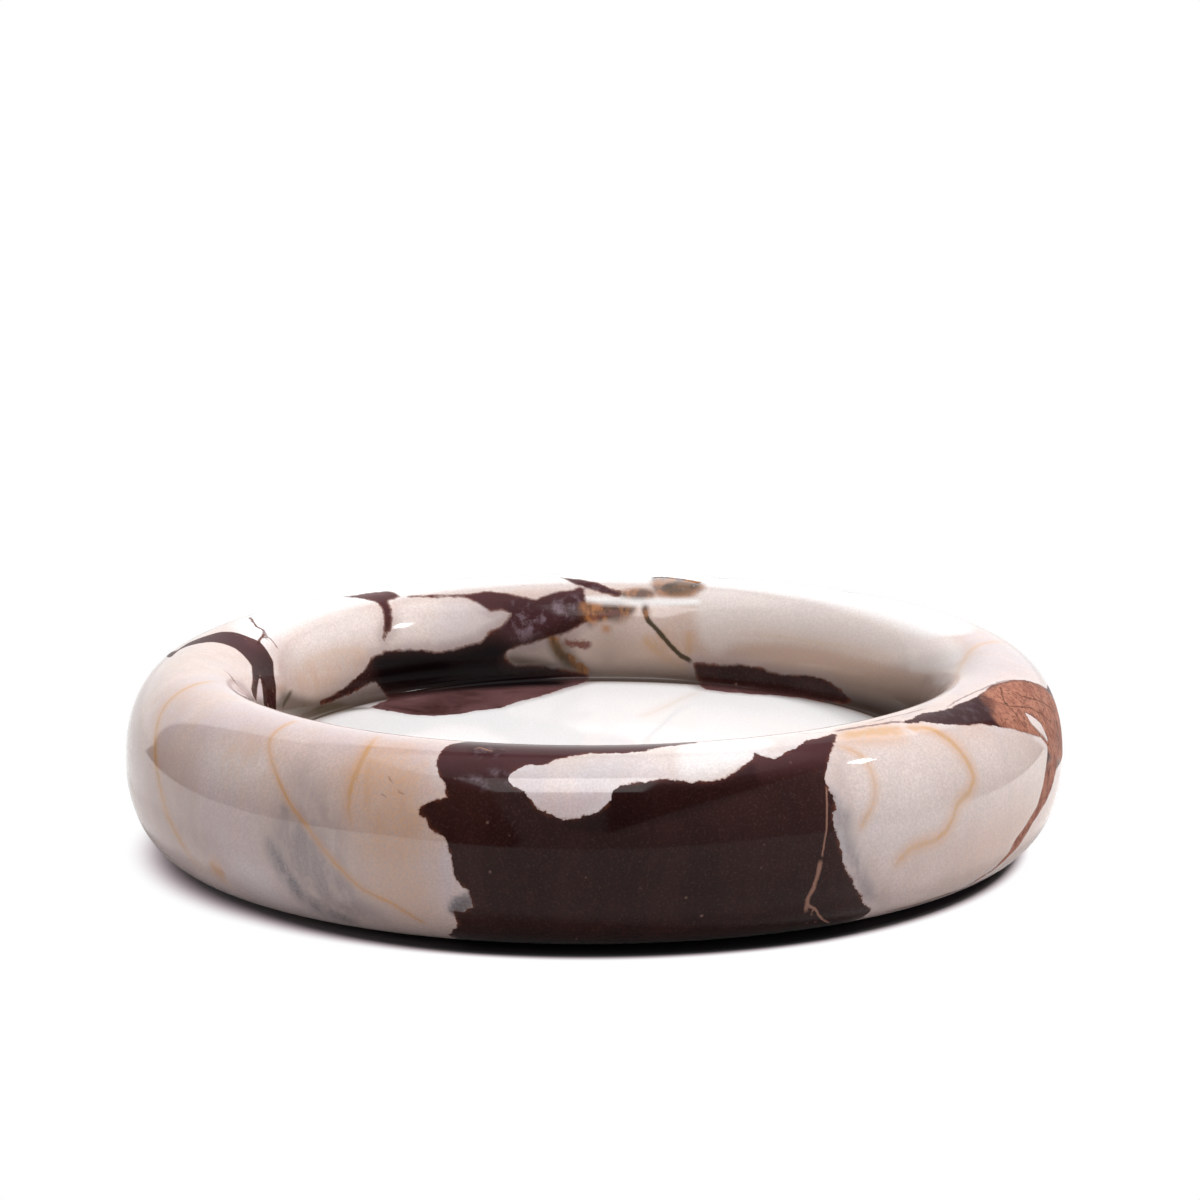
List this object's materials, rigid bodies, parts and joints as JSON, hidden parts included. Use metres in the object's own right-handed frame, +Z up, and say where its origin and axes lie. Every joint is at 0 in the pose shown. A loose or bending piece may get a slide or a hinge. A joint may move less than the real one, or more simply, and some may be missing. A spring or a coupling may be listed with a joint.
{
  "type": "marble catch-all tray",
  "caption": "Round catch-all turned from thick veined marble, with a full-round rim, a recessed floor for keys and rings, and felt pads let into the flat underside.",
  "frame": {"origin": "on the table, under the middle of the tray", "axes": "+Z up along the tray's turning axis, -Y towards the front, +X to the right"},
  "size_m": [0.2, 0.2, 0.041],
  "materials": {
    "marble": "polished brecciated marble, cream with dark brown patches and ochre veins",
    "felt": "dense pressed wool felt, die-cut",
    "adhesive": "double-sided acrylic foam tape, milky"
  },
  "bodies": {
    "root": {"marble_tray": "marble", "felt_pad_front_left": "felt", "felt_pad_front_right": "felt", "felt_pad_rear_right": "felt", "felt_pad_rear_left": "felt", "pad_adhesive_front_left": "adhesive", "pad_adhesive_front_right": "adhesive", "pad_adhesive_rear_right": "adhesive", "pad_adhesive_rear_left": "adhesive"}
  },
  "joints": []
}
